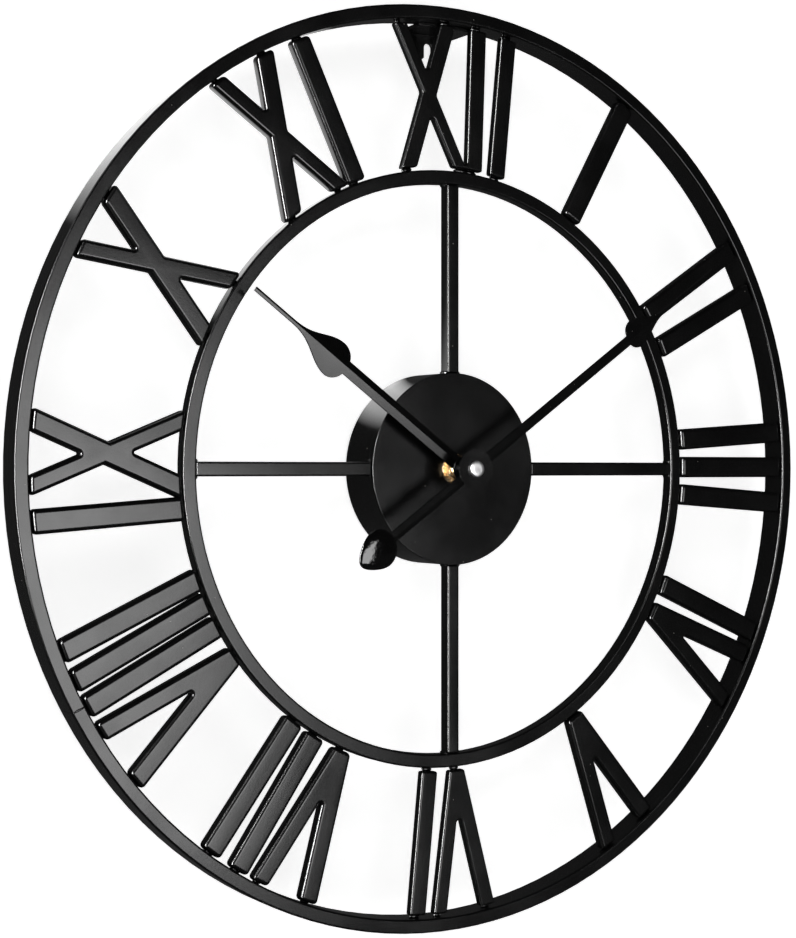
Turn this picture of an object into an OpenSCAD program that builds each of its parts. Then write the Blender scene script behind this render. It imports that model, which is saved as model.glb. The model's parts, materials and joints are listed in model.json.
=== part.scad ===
// Openwork metal wall clock with Roman numerals and a battery quartz movement.
// The origin is on the wall plane, straight behind the arbor that carries the hands.
// +X is right, +Z is up, and the dial faces -Y. Heights are measured out from the wall.

/* [Outer ring] */
// Outside radius of the clock
outer_r = 200; // [175:1:260]
// Radial width of the outer ring's bar
outer_w = 6; // [4:0.5:9]
// Front to back depth of the outer ring's bar
outer_d = 12.7; // [8:0.1:20]
// How far the outer ring's front stands ahead of the drum's face
outer_proud = 0.6; // [0:0.1:3]

/* [Inner ring and spokes] */
// Outside radius of the inner ring
inner_r = 129.5; // [100:0.5:155]
// Side of the square bar that the inner ring and the spokes are made of
bar_w = 6; // [4:0.1:8]
// How far the spokes, inner ring and numerals sit back from the outer ring's front
bar_recess = 1.3; // [0:0.1:4]

/* [Numerals] */
// Width of the bar of an I
i_w = 8.3; // [6:0.1:10]
// Width of the broad stroke of an X
x_broad_w = 7.4; // [5:0.1:9]
// Width of the narrow stroke of an X
x_narrow_w = 6.1; // [4.5:0.1:8]
// Lean of each stroke of an X from its centre line, in degrees, at the usual band
x_half_angle = 22.4; // [15:0.1:28]
// Width of the broad arm of a V
v_broad_w = 7.4; // [5:0.1:9]
// Width of the narrow arm of a V
v_narrow_w = 6.9; // [4.5:0.1:8]
// Lean of each arm of a V from its centre line, in degrees, at the usual band
v_half_angle = 11.3; // [8:0.1:15]
// Width across the point of a V where it meets the inner ring
v_point_w = 6.8; // [5:0.1:9]
// Radius at the bottom of the notch of a V
v_notch_r = 1.3; // [0.5:0.1:2]
// Depth of a numeral's pressed tray
tray_d = 4; // [2.5:0.1:5.5]
// Thickness of a numeral's sheet
tray_t = 1; // [0.6:0.1:1.5]
// Gap between a tray's end and the ring, which its weld tab crosses
tray_gap = 1.4; // [0.5:0.1:3]
// Thickness of the weld tabs at the tray ends
tab_t = 1.2; // [0.8:0.1:2]

/* [Hub drum] */
// Outside radius of the drum
drum_r = 41.7; // [41:0.1:60]
// Depth of the drum from the wall to its face
drum_d = 22.5; // [21:0.1:35]
// Thickness of the drum's sheet
drum_t = 0.8; // [0.5:0.1:1.5]

/* [Hanger] */
// Radius of the keyhole's round entry
key_r = 4.2; // [3.5:0.1:6]
// Width of the keyhole's slot
key_slot_w = 4; // [3:0.1:5]
// Length of the slot above the entry's centre, to the slot's round end centre
key_slot_l = 8.2; // [6:0.1:10]
// Distance of the keyhole's entry below the outer ring's inner face
key_drop = 15.5; // [13:0.1:18]
// Thickness of the hanger's sheet
hanger_t = 1.5; // [1:0.1:2]
// Width of the hanger at the ring
hanger_w = 28; // [24:0.5:40]

/* [Hands] */
// Clock angle of the minute hand at rest, in degrees from twelve
minute_angle = 55.5; // [0:0.5:360]
// Clock angle of the hour hand at rest, in degrees from twelve
hour_angle = 305.5; // [0:0.5:360]
// Reach of the minute hand from the arbor to its tip
minute_l = 163; // [150:1:185]
// Reach of the hour hand from the arbor to its tip
hour_l = 124.6; // [112:0.1:140]
// Height of the hour hand's ridge above the drum's face
hour_lift = 8; // [6.5:0.1:10]
// Height of the minute hand's ridge above the hour hand's ridge
minute_lift = 8.4; // [3:0.1:10]
// Thickness of the hands' sheet
hand_t = 0.8; // [0.5:0.1:1.2]
// Rise of a hand's folded face per millimetre across
fold_slope = 0.25; // [0.1:0.05:0.5]

/* [Movement] */
// Side of the square movement case
case_w = 56; // [56:0.5:57]
// Depth of the movement case
case_d = 15.5; // [15.5:0.1:17]
// Wall of the movement case
case_t = 1.2; // [0.8:0.1:1.5]
// Outside radius of the threaded bush
bush_r = 4; // [3.8:0.1:5]
// Outside radius of the hour pipe
pipe_r = 2.5; // [2.3:0.05:2.8]
// Radius of the minute arbor inside the hour pipe
arbor_r = 1.6; // [1.4:0.05:1.8]
// Radial clearance of every running fit
run_gap = 0.05; // [0.02:0.01:0.08]
// Module of the train's gear teeth
train_m = 0.25; // [0.22:0.01:0.26]
// Module of the motion work's gear teeth
motion_m = 0.5; // [0.45:0.01:0.52]

/* [Hidden] */

$fn = 96;
eps = 0.01;
past = 5; // how far a cutter runs past what it cuts

// Rings
outer_in = outer_r - outer_w;
inner_in = inner_r - bar_w;
outer_front = drum_d + outer_proud;
outer_back = outer_front - outer_d;
bar_front = outer_front - bar_recess;
bar_back = bar_front - bar_w;

// Numerals
band = outer_in - inner_r;
band_mid = inner_r + band / 2;
tray_back = bar_front - tray_d;
stroke_l = 2 * band;
drawn_band = 64.5; // leans are given for a band this wide, and ease as it widens
x_lean = lean(x_half_angle);
v_lean = lean(v_half_angle);
tab_inset = 1.4;
notch_tuck = 0.04; // the notch's straight sides start this far inside its round end
// Strokes of the numerals one to twelve: the letter, how far right of the hour line
// its middle is, and its lean to the right in degrees
NUMERALS = [
    [["I", -0.5, 0]],
    [["I", -9, -2.5], ["I", 11.1, 2.7]],
    [["I", -16, -3.8], ["I", -0.9, 0], ["I", 14.3, 4.2]],
    [["I", -16.2, -6.6], ["V", 2.9, 3.2]],
    [["V", -1.2, 0.5]],
    [["V", -4, -3.7], ["I", 15.3, 5.7]],
    [["V", -12.4, -3.7], ["I", 7.1, 4.9], ["I", 20.7, 7.3]],
    [["V", -15.4, -5.9], ["I", 3.9, 2.9], ["I", 14.9, 3.6], ["I", 26.4, 5.8]],
    [["I", -18.1, -3.9], ["X", 6.2, 0.4]],
    [["X", -0.4, 0]],
    [["X", -6, -3.9], ["I", 20.3, 4.3]],
    [["X", -12.1, -4.9], ["I", 12.5, 2.1], ["I", 26.9, 5.8]]];

// Movement stack, from the drum's face back towards the wall
rubber_t = 1;
rubber_r = 14;
case_front = drum_d - drum_t - rubber_t;
case_back = case_front - case_d;
cover_t = 2;
floor_h = case_back + cover_t;
roof_h = case_front - case_t;
case_in = case_w / 2 - case_t;

// Nut and washer on the drum's face
washer_t = 0.8;
washer_r = 6.6;
nut_t = 3;
nut_af = 10;
bush_top = drum_d + washer_t + nut_t + 1.2;
bush_in = pipe_r + run_gap;
thread_pitch = 0.75;
thread_deep = 0.35;

// Hands
hour_h = drum_d + hour_lift;
minute_h = hour_h + minute_lift;
hour_boss_r = 5.6;
collet_r = 3.7;
collet_l = 2.6;
pipe_top = hour_h + 0.6;
hour_shaft_w = 6.2;
hour_spade_y = hour_l - 46.3; // middle of the spade's shoulders
hour_lobe_r = 6.1;
hour_lobe_x = 2.1;
hour_tip_w = 1.8;
hour_taper_l = 27;
minute_boss_r = 8.6;
minute_shaft_w = 4.4;
minute_spade_y = minute_l - 54.3;
minute_spade_r = 6.5;
minute_taper_l = 19;
minute_tip_w = 1.5;
tail_l = 60;
weight_y = -58.5;
weight_r = 8.3;
weight_tip = -70;
weight_t = 3;
stud_r = 1.2;
stud_flat = 0.95;
minute_nut_r = 3.5;
minute_nut_t = 1.6;

// Gear teeth. addendum and dedendum are shares of the module
addendum = 0.8;
dedendum = 1.2;
backlash = 0.12;
pin_r = 0.4;
pin_sink = 1;
leaves = 8; // every train pinion and the motion pinion
cannon_teeth = 10;
motion_teeth = 30;
hour_teeth = 32;
minute_teeth = 60;
third_teeth = 64;
seconds_teeth = 48;
middle_teeth = 40;

// Arbor places in the dial plane, each a centre distance from the one it meshes with
function lean(a) = atan(tan(a) * drawn_band / band);
function reach(m, a, b) = m * (a + b) / 2;
function along(p, d, a) = [p[0] + d * cos(a), p[1] + d * sin(a)];
motion_dir = 180;
third_dir = 20;
seconds_dir = 60;
middle_dir = 130;
rotor_dir = 180;
motion_at = along([0, 0], reach(motion_m, cannon_teeth, motion_teeth), motion_dir);
third_at = along([0, 0], reach(train_m, minute_teeth, leaves), third_dir);
seconds_at = along(third_at, reach(train_m, third_teeth, leaves), seconds_dir);
middle_at = along(seconds_at, reach(train_m, seconds_teeth, leaves), middle_dir);
rotor_at = along(middle_at, reach(train_m, middle_teeth, leaves), rotor_dir);

// Layers inside the case, as heights above its floor
wheel_t = 0.6;
foot_h = floor_h + 0.3;
middle_h = floor_h + 0.5;
seconds_h = floor_h + 1.7;
third_h = floor_h + 2.9;
minute_wheel_h = floor_h + 4.1;
cannon_h = minute_wheel_h + wheel_t + 0.4;
cannon_l = 2;
motion_h = cannon_h + 0.5;
motion_t = 1;
hour_wheel_h = cannon_h + cannon_l + 0.7;
arbor_foot_h = minute_wheel_h - 0.3;
magnet_h = floor_h + 1.7;
magnet_l = 1.7;
magnet_r = 2.8;
stator_h = floor_h + 2;
stator_t = 1.2;
coil_r = 2.5;
coil_y = 22.5;
knob_shaft_r = 1.2;
pivot_r = 0.6;
knob_r = 5.5;
knob_t = 2.7;
knob_gap = 0.3;
boss_r = 2;

// Battery bay along the bottom of the case
bay_top = -11.6;
bay_wall = 1;
battery_r = 7;
battery_l = 49;
battery_nub_r = 2.75;
battery_nub_l = 1.1;
battery_x = -24.6;
battery_y = -19.2;
battery_h = roof_h - battery_r - 0.1;
contact_t = 0.5;

frame_black = [0.05, 0.05, 0.055];
tray_black = [0.06, 0.06, 0.065];
hand_black = [0.04, 0.04, 0.045];

// ---------- helpers ----------

// Puts children on the dial plane, h out from the wall: their x is right, y is up
module from_wall(h = 0) {
    translate([0, -h, 0]) rotate([90, 0, 0]) children();
}

// Turns children on the dial plane to a clock angle
module clock(a) {
    rotate([0, 0, -a]) children();
}

module ring(r_out, r_in, h) {
    difference() {
        cylinder(r = r_out, h = h, $fn = 180);
        translate([0, 0, -past]) cylinder(r = r_in, h = h + 2 * past, $fn = 180);
    }
}

// Gear outline on its axis. Flanks are straight from root to pitch circle and to tip
module gear_shape(n, m, pinion = false) {
    pitch_r = m * n / 2;
    half = 90 / n * (1 - backlash);
    foot = pinion ? 0.95 : 1.1;
    tip = pinion ? 0.55 : 0.5;
    tip_r = pitch_r + addendum * m * (pinion ? 0.9 : 1);
    root_r = pitch_r - dedendum * m;
    polygon([for (i = [0:n - 1])
        for (p = [[root_r, -foot], [pitch_r, -1], [tip_r, -tip],
                  [tip_r, tip], [pitch_r, 1], [root_r, foot]])
            let (a = 360 * i / n + p[1] * half) p[0] * [cos(a), sin(a)]]);
}

// Turn that sets gear b's gap on gear a's tooth. b lies at angle dir from a
function mesh_turn(dir, a_turn, a_n, b_n) =
    dir + 180 - (0.5 - (dir - a_turn) * a_n / 360) * 360 / b_n;

// ---------- dial frame ----------

module outer_ring() {
    color(frame_black) from_wall(outer_back) ring(outer_r, outer_in, outer_d);
}

module inner_ring() {
    color(frame_black) from_wall(bar_back) ring(inner_r, inner_in, bar_w);
}

// Square bar from the drum's side to the inner ring's inner face
module spoke(a) {
    color(frame_black) from_wall(bar_back) clock(a)
        difference() {
            intersection() {
                translate([-bar_w / 2, 0, 0]) cube([bar_w, inner_in + past, bar_w]);
                cylinder(r = inner_in, h = bar_w, $fn = 180);
            }
            translate([0, 0, -past]) cylinder(r = drum_r, h = bar_w + 2 * past);
        }
}

// ---------- numerals ----------

// Each letter is drawn with its middle at the origin; inset narrows every edge
module letter_i(inset) {
    square([i_w - 2 * inset, stroke_l], center = true);
}

module letter_x(inset) {
    rotate(-x_lean) square([x_broad_w - 2 * inset, stroke_l], center = true);
    rotate(x_lean) square([x_narrow_w - 2 * inset, stroke_l], center = true);
}

module letter_v(inset) {
    foot_y = -band / 2 - tray_gap;
    top_y = band / 2 + past;
    half_foot = v_point_w / 2 - inset / cos(v_lean);
    half_top = half_foot + (top_y - foot_y) * tan(v_lean);
    notch_half = (v_broad_w + v_narrow_w + 2 * v_notch_r) / 2 / cos(v_lean);
    notch_y = foot_y + (notch_half - v_point_w / 2) / tan(v_lean);
    notch_x = (v_broad_w - v_narrow_w) / 2 / cos(v_lean);
    r = v_notch_r + inset;
    side = (r - notch_tuck) * [cos(v_lean), -sin(v_lean)];
    run = stroke_l * [sin(v_lean), cos(v_lean)];
    difference() {
        polygon([[-half_foot, foot_y], [half_foot, foot_y],
                 [half_top, top_y], [-half_top, top_y]]);
        translate([notch_x, notch_y]) {
            circle(r = r);
            polygon([side, side + run, [-side[0] - run[0], side[1] + run[1]],
                     [-side[0], side[1]]]);
        }
    }
}

module letters(strokes, inset) {
    for (s = strokes)
        translate([s[1], band_mid]) rotate(-lean(s[2])) {
            if (s[0] == "I") letter_i(inset);
            if (s[0] == "X") letter_x(inset);
            if (s[0] == "V") letter_v(inset);
        }
}

// The letters' strokes between two radii about the clock's centre
module strokes_between(strokes, inset, r_in, r_out, h) {
    intersection() {
        linear_extrude(h) letters(strokes, inset);
        ring(r_out, r_in, h);
    }
}

// Pressed tray, open at the back, with weld tabs that reach both rings
module numeral(hour) {
    strokes = NUMERALS[hour - 1];
    r_in = inner_r + tray_gap;
    r_out = outer_in - tray_gap;
    color(tray_black) from_wall(tray_back) clock(30 * hour)
        difference() {
            union() {
                strokes_between(strokes, 0, r_in, r_out, tray_d);
                strokes_between(strokes, tab_inset, inner_r, outer_in, tab_t);
            }
            translate([0, 0, -past])
                strokes_between(strokes, tray_t, r_in + tray_t, r_out - tray_t,
                    tray_d - tray_t + past);
        }
}

// ---------- hub, hanger and clamp ----------

module hub_drum() {
    color(frame_black) from_wall()
        difference() {
            cylinder(r = drum_r, h = drum_d, $fn = 180);
            translate([0, 0, -past])
                cylinder(r = drum_r - drum_t, h = drum_d - drum_t + past, $fn = 180);
            cylinder(r = bush_r + run_gap, h = drum_d + past);
        }
}

// Sheet on the wall plane with a keyhole, bent forward into a strap under the ring
module hanger_plate() {
    key_y = outer_in - key_drop;
    nose_r = key_r + 2.2;
    nose_y = key_y - 1;
    top_y = outer_in - 1;
    strap_front = outer_back + 6;
    color(frame_black) from_wall()
        difference() {
            intersection() {
                union() {
                    linear_extrude(hanger_t) {
                        translate([0, nose_y]) circle(r = nose_r);
                        polygon([[-nose_r, nose_y], [nose_r, nose_y],
                                 [hanger_w / 2, top_y + past], [-hanger_w / 2, top_y + past]]);
                    }
                    translate([-hanger_w / 2, nose_y, 0])
                        intersection() {
                            cube([hanger_w, key_drop + past, strap_front]);
                            translate([hanger_w / 2, -nose_y, 0])
                                ring(outer_in, outer_in - hanger_t, strap_front);
                        }
                }
                cylinder(r = outer_in, h = strap_front, $fn = 180);
            }
            translate([0, key_y, -past]) {
                cylinder(r = key_r, h = hanger_t + 2 * past);
                translate([-key_slot_w / 2, 0, 0])
                    cube([key_slot_w, key_slot_l, hanger_t + 2 * past]);
                translate([0, key_slot_l, 0])
                    cylinder(d = key_slot_w, h = hanger_t + 2 * past);
            }
        }
}

module hex_nut() {
    corner_r = nut_af / 2 / cos(30);
    cham = 0.5;
    color([0.78, 0.6, 0.3]) from_wall(drum_d + washer_t)
        difference() {
            intersection() {
                rotate(30) cylinder(r = corner_r, h = nut_t, $fn = 6);
                rotate_extrude()
                    polygon([[0, 0], [corner_r - cham, 0], [corner_r, cham],
                             [corner_r, nut_t - cham], [corner_r - cham, nut_t], [0, nut_t]]);
            }
            translate([0, 0, -past]) cylinder(r = bush_r, h = nut_t + 2 * past);
        }
}

module brass_washer() {
    color([0.75, 0.58, 0.3]) from_wall(drum_d)
        ring(washer_r, bush_r + run_gap, washer_t);
}

module rubber_washer() {
    color([0.1, 0.1, 0.1]) from_wall(case_front)
        ring(rubber_r, bush_r + run_gap, rubber_t);
}

// Bush moulded into the case, with rings that stand for its thread
module threaded_bush() {
    flange_r = bush_r + 1.5;
    thread_from = case_front + 1;
    turns = floor((bush_top - thread_from) / thread_pitch);
    color([0.76, 0.6, 0.32]) from_wall()
        rotate_extrude()
            polygon(concat(
                [[bush_in, roof_h - 1], [flange_r, roof_h - 1], [flange_r, roof_h],
                 [bush_r, roof_h], [bush_r, thread_from]],
                [for (i = [0:turns - 1], p = [[-thread_deep, 0.5], [0, 1]])
                    [bush_r + p[0], thread_from + (i + p[1]) * thread_pitch]],
                [[bush_r - thread_deep, bush_top], [bush_in, bush_top]]));
}

// ---------- movement case ----------

module case_box(low_y, high_y, low_h, high_h, side) {
    translate([-side, low_y, low_h])
        cube([2 * side, high_y - low_y, high_h - low_h]);
}

// Front half: a tray open to the back, with a wall above the battery bay
module movement_front() {
    half = case_w / 2;
    color([0.12, 0.12, 0.13]) from_wall()
        difference() {
            union() {
                difference() {
                    union() {
                        case_box(-half, half, floor_h, case_front, half);
                        case_box(-half, bay_top, case_back, floor_h, half);
                    }
                    case_box(bay_top + bay_wall, case_in, floor_h - past, roof_h, case_in);
                    case_box(-case_in, bay_top, case_back - past, roof_h, case_in);
                }
                translate([motion_at[0], motion_at[1], hour_wheel_h + 2])
                    cylinder(r = boss_r, h = roof_h - hour_wheel_h - 2 + eps);
            }
            cylinder(r = bush_r, h = case_front + past);
            translate([motion_at[0], motion_at[1], hour_wheel_h + 2 - past])
                cylinder(r = pivot_r + run_gap, h = 1.6 + past);
        }
}

// Flat cover over the works, with holes for the pins and the knob's shaft
module movement_back() {
    half = case_w / 2;
    posts = [[-22, 19], [3.2, coil_y], [-14, 16]];
    color([0.14, 0.14, 0.15]) from_wall()
        difference() {
            union() {
                case_box(bay_top, half, case_back, floor_h, half);
                for (p = posts)
                    translate([p[0], p[1], floor_h - eps])
                        cylinder(r = 1.2, h = stator_h - floor_h + eps);
            }
            for (p = [rotor_at, middle_at, seconds_at, third_at])
                translate([p[0], p[1], floor_h - pin_sink])
                    cylinder(r = pin_r, h = pin_sink + past);
            translate([motion_at[0], motion_at[1], case_back - past])
                cylinder(r = knob_shaft_r + run_gap, h = cover_t + 2 * past);
        }
}

module train_pins() {
    tops = [magnet_h + magnet_l + 0.6, seconds_h + wheel_t + 0.9,
            third_h + wheel_t + 1.1, minute_wheel_h + wheel_t + 1];
    at = [rotor_at, middle_at, seconds_at, third_at];
    color([0.7, 0.7, 0.72]) from_wall(floor_h - pin_sink)
        for (i = [0:3])
            translate([at[i][0], at[i][1], 0])
                cylinder(r = pin_r, h = tops[i] - floor_h + pin_sink);
}

// Iron loop that carries the coil and closes round the rotor's magnet
module stator() {
    hole_r = magnet_r + 0.4;
    eye_r = hole_r + 1.2;
    bar = 2.4;
    left = -24;
    color([0.55, 0.55, 0.57]) from_wall(stator_h)
        difference() {
            linear_extrude(stator_t)
                difference() {
                    union() {
                        translate(rotor_at) circle(r = eye_r);
                        translate([left, coil_y - bar / 2]) square([28, bar]);
                        translate([left, rotor_at[1] - bar / 2])
                            square([bar, coil_y - rotor_at[1] + bar]);
                        translate([left, rotor_at[1] - bar / 2])
                            square([rotor_at[0] - hole_r - left, bar]);
                        translate([rotor_at[0] - bar / 2, rotor_at[1] + hole_r])
                            square([bar, coil_y - rotor_at[1] - hole_r]);
                    }
                    translate(rotor_at) circle(r = hole_r);
                }
            translate([rotor_at[0], rotor_at[1], -past])
                cylinder(r = hole_r, h = stator_t + 2 * past);
        }
}

module coil() {
    bar = 2.4;
    color([0.72, 0.4, 0.2]) from_wall()
        difference() {
            translate([-20, coil_y, stator_h + stator_t / 2])
                rotate([0, 90, 0]) cylinder(r = coil_r, h = 19);
            translate([-20 - past, coil_y - bar / 2, stator_h])
                cube([19 + 2 * past, bar, stator_t]);
        }
}

// Board with its chip under a round drop of resin and the quartz can
module circuit_board() {
    board = [20, 5.2, 1];
    corner = [-25, 9];
    color([0.1, 0.35, 0.2]) from_wall(floor_h) {
        translate([corner[0], corner[1], 0]) cube(board);
        translate([corner[0] + 5, corner[1] + board[1] / 2, 0])
            cylinder(r = 2, h = board[2] + 0.7);
        translate([corner[0] + 10, corner[1] + board[1] / 2, board[2] + 0.8])
            rotate([0, 90, 0]) cylinder(r = 0.9, h = 6);
    }
}

// Plate with a cone of wire rings that presses on the battery's flat end
module battery_spring_contact() {
    wire_r = 0.35;
    color([0.75, 0.75, 0.76]) from_wall()
        translate([-case_in, battery_y, battery_h]) {
            translate([0, -5, -5]) cube([contact_t, 10, 10]);
            for (i = [0:2])
                translate([contact_t + wire_r * 0.6 + i * 0.45, 0, 0])
                    rotate([0, 90, 0]) rotate_extrude()
                        translate([4 - 0.45 * i, 0]) circle(r = wire_r);
        }
}

module battery_flat_contact() {
    dome_l = case_in - contact_t - (battery_x + battery_l + battery_nub_l) - 0.3;
    color([0.75, 0.75, 0.76]) from_wall()
        translate([case_in - contact_t, battery_y, battery_h]) {
            translate([0, -5, -5]) cube([contact_t, 10, 10]);
            translate([-dome_l, 0, 0])
                rotate([0, 90, 0]) cylinder(r = 1.6, h = dome_l + contact_t / 2);
        }
}

module battery() {
    color([0.2, 0.3, 0.5]) from_wall()
        translate([battery_x, battery_y, battery_h])
            rotate([0, 90, 0]) {
                cylinder(r = battery_r, h = battery_l);
                cylinder(r = battery_nub_r, h = battery_l + battery_nub_l);
            }
}

// ---------- wheels ----------

// Wheel and pinion in one piece, bored to run on a fixed pin
module pinned_wheel(at, teeth, turn, wheel_h, pinion_turn, pinion_top) {
    hub_r = 1;
    color([0.85, 0.85, 0.82]) from_wall()
        translate([at[0], at[1], 0])
            difference() {
                union() {
                    translate([0, 0, wheel_h])
                        rotate(turn) linear_extrude(wheel_t) gear_shape(teeth, train_m);
                    translate([0, 0, wheel_h + wheel_t - eps])
                        rotate(pinion_turn)
                            linear_extrude(pinion_top - wheel_h - wheel_t + eps)
                                gear_shape(leaves, train_m, true);
                    translate([0, 0, foot_h])
                        cylinder(r = hub_r, h = wheel_h - foot_h + eps);
                }
                translate([0, 0, foot_h - past])
                    cylinder(r = pin_r + run_gap, h = pinion_top - foot_h + 2 * past);
            }
}

// Each pinion is set at turn 0 and the wheel that it drives is turned to mesh
module intermediate_wheel() {
    turn = mesh_turn(rotor_dir + 180, 0, leaves, middle_teeth);
    pinned_wheel(middle_at, middle_teeth, turn, middle_h, 0, seconds_h + wheel_t + 0.3);
}

module seconds_wheel() {
    turn = mesh_turn(middle_dir + 180, 0, leaves, seconds_teeth);
    pinned_wheel(seconds_at, seconds_teeth, turn, seconds_h, 0, third_h + wheel_t + 0.4);
}

module third_wheel() {
    turn = mesh_turn(seconds_dir + 180, 0, leaves, third_teeth);
    pinned_wheel(third_at, third_teeth, turn, third_h, 0, minute_wheel_h + wheel_t + 0.4);
}

// Centre wheel. It grips the minute arbor by friction, so the hands can be set
module minute_wheel() {
    turn = mesh_turn(third_dir + 180, 0, leaves, minute_teeth);
    color([0.85, 0.85, 0.82]) from_wall(minute_wheel_h)
        difference() {
            rotate(turn) linear_extrude(wheel_t) gear_shape(minute_teeth, train_m);
            translate([0, 0, -past]) cylinder(r = arbor_r + run_gap, h = wheel_t + 2 * past);
        }
}

module rotor() {
    color([0.3, 0.3, 0.32]) from_wall()
        translate([rotor_at[0], rotor_at[1], 0])
            difference() {
                union() {
                    translate([0, 0, foot_h])
                        linear_extrude(middle_h + wheel_t + 0.2 - foot_h)
                            gear_shape(leaves, train_m, true);
                    translate([0, 0, middle_h + wheel_t])
                        cylinder(r = 0.8, h = magnet_h - middle_h - wheel_t + eps);
                    translate([0, 0, magnet_h]) cylinder(r = magnet_r, h = magnet_l);
                }
                translate([0, 0, foot_h - past])
                    cylinder(r = pin_r + run_gap, h = magnet_h + magnet_l + 2 * past);
            }
}

// Shaft from the knob to a pivot in the case, with the motion work's wheel and pinion
module motion_wheel() {
    wheel_turn = mesh_turn(motion_dir, 0, cannon_teeth, motion_teeth);
    pinion_top = hour_wheel_h + 1.4;
    shaft_foot = case_back - knob_gap - 1.5;
    color([0.9, 0.9, 0.88]) from_wall()
        translate([motion_at[0], motion_at[1], 0]) {
            translate([0, 0, shaft_foot])
                cylinder(r = knob_shaft_r, h = pinion_top - shaft_foot);
            translate([0, 0, motion_h])
                rotate(wheel_turn) linear_extrude(motion_t) gear_shape(motion_teeth, motion_m);
            translate([0, 0, motion_h + motion_t - eps])
                linear_extrude(pinion_top - motion_h - motion_t + eps)
                    gear_shape(leaves, motion_m, true);
            translate([0, 0, pinion_top - eps]) cylinder(r = pivot_r, h = 1.8);
        }
}

module setting_knob() {
    flutes = 16;
    knob_front = case_back - knob_gap;
    color([0.9, 0.9, 0.88]) from_wall(knob_front - knob_t)
        translate([motion_at[0], motion_at[1], 0])
            difference() {
                cylinder(r = knob_r, h = knob_t);
                for (i = [0:flutes - 1])
                    rotate(360 * i / flutes) translate([knob_r + 0.3, 0, -past])
                        cylinder(r = 0.7, h = knob_t + 2 * past, $fn = 24);
                translate([0, 0, knob_t - 1.5]) cylinder(r = knob_shaft_r, h = past);
            }
}

// ---------- hands ----------

// Folded sheet along y, ridge at height 0, faces falling away to both sides
module folded_sheet(from_y, to_y, half_w) {
    drop = half_w * fold_slope;
    translate([0, to_y, 0]) rotate([90, 0, 0])
        linear_extrude(to_y - from_y)
            polygon([[0, 0], [half_w, -drop], [half_w, -drop - hand_t], [0, -hand_t],
                     [-half_w, -drop - hand_t], [-half_w, -drop]]);
}

// Half width of a tapering tip at share t of its length
function taper(t, wide, narrow, curve) =
    narrow + (wide - narrow) * pow((1 + cos(180 * t)) / 2, curve);

module taper_shape(from_y, taper_l, tip_y, wide, narrow, curve) {
    steps = 16;
    side = [for (i = [0:steps])
        [taper(i / steps, wide, narrow, curve), from_y + taper_l * i / steps]];
    back = [for (i = [steps:-1:0]) [-side[i][0], side[i][1]]];
    polygon(concat(side, [[narrow, tip_y], [-narrow, tip_y]], back));
}

module hour_shape() {
    translate([-hour_shaft_w / 2, 0]) square([hour_shaft_w, hour_spade_y]);
    for (s = [-1, 1]) translate([s * hour_lobe_x, hour_spade_y]) circle(r = hour_lobe_r);
    taper_shape(hour_spade_y, hour_taper_l, hour_l,
        hour_lobe_x + hour_lobe_r, hour_tip_w / 2, 1.6);
}

module hour_hand() {
    color(hand_black) from_wall(hour_h) clock(hour_angle)
        difference() {
            union() {
                intersection() {
                    folded_sheet(-past, hour_l + past, 12);
                    translate([0, 0, -past]) linear_extrude(2 * past) hour_shape();
                }
                translate([0, 0, -hand_t]) cylinder(r = hour_boss_r, h = hand_t);
                translate([0, 0, -collet_l]) cylinder(r = collet_r, h = collet_l);
            }
            translate([0, 0, -past]) cylinder(r = pipe_r, h = 2 * past);
        }
}

// Hour wheel with the pipe that carries the hour hand
module hour_pipe() {
    wheel_turn = mesh_turn(motion_dir + 180, 0, leaves, hour_teeth);
    hub_low = hour_wheel_h - 0.4;
    color([0.9, 0.9, 0.88]) from_wall()
        difference() {
            union() {
                translate([0, 0, hour_wheel_h])
                    rotate(wheel_turn) linear_extrude(1) gear_shape(hour_teeth, motion_m);
                translate([0, 0, hub_low]) cylinder(r = 3.8, h = 2);
                translate([0, 0, hub_low]) cylinder(r = pipe_r, h = pipe_top - hub_low);
            }
            translate([0, 0, hub_low - past])
                cylinder(r = arbor_r + run_gap, h = pipe_top - hub_low + 2 * past);
        }
}

module minute_shape() {
    shaft = minute_shaft_w;
    translate([-shaft / 2, -tail_l]) square([shaft, tail_l + minute_spade_y]);
    translate([0, minute_spade_y]) circle(r = minute_spade_r);
    taper_shape(minute_spade_y, minute_taper_l, minute_l,
        minute_spade_r, minute_tip_w / 2, 1.35);
}

module minute_sheet() {
    intersection() {
        folded_sheet(-tail_l - past, minute_l + past, 9);
        translate([0, 0, -past]) linear_extrude(2 * past) minute_shape();
    }
}

// Stud at the arbor's end, with two flats that turn the minute hand
module flatted_stud(h) {
    intersection() {
        cylinder(r = stud_r, h = h);
        translate([-stud_flat, -stud_r, 0]) cube([2 * stud_flat, 2 * stud_r, h]);
    }
}

module minute_hand() {
    color(hand_black) from_wall(minute_h) clock(minute_angle)
        difference() {
            union() {
                minute_sheet();
                translate([0, 0, -hand_t]) cylinder(r = minute_boss_r, h = hand_t);
            }
            translate([0, 0, -past]) flatted_stud(2 * past);
            translate([0, 0, -hand_t - past]) cylinder(r = arbor_r + run_gap, h = past);
        }
}

// Glossy teardrop on the tail, point outward, grooved to sit over the folded sheet
module minute_counterweight() {
    reach = weight_y - weight_tip;
    lean = acos(weight_r / reach);
    color([0.02, 0.02, 0.02]) from_wall(minute_h) clock(minute_angle)
        difference() {
            translate([0, weight_y, -weight_t / 2])
                linear_extrude(weight_t) {
                    circle(r = weight_r);
                    polygon([[-weight_r * sin(lean), -weight_r * cos(lean)], [0, -reach],
                             [weight_r * sin(lean), -weight_r * cos(lean)], [0, 0]]);
                }
            minute_sheet();
        }
}

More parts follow.
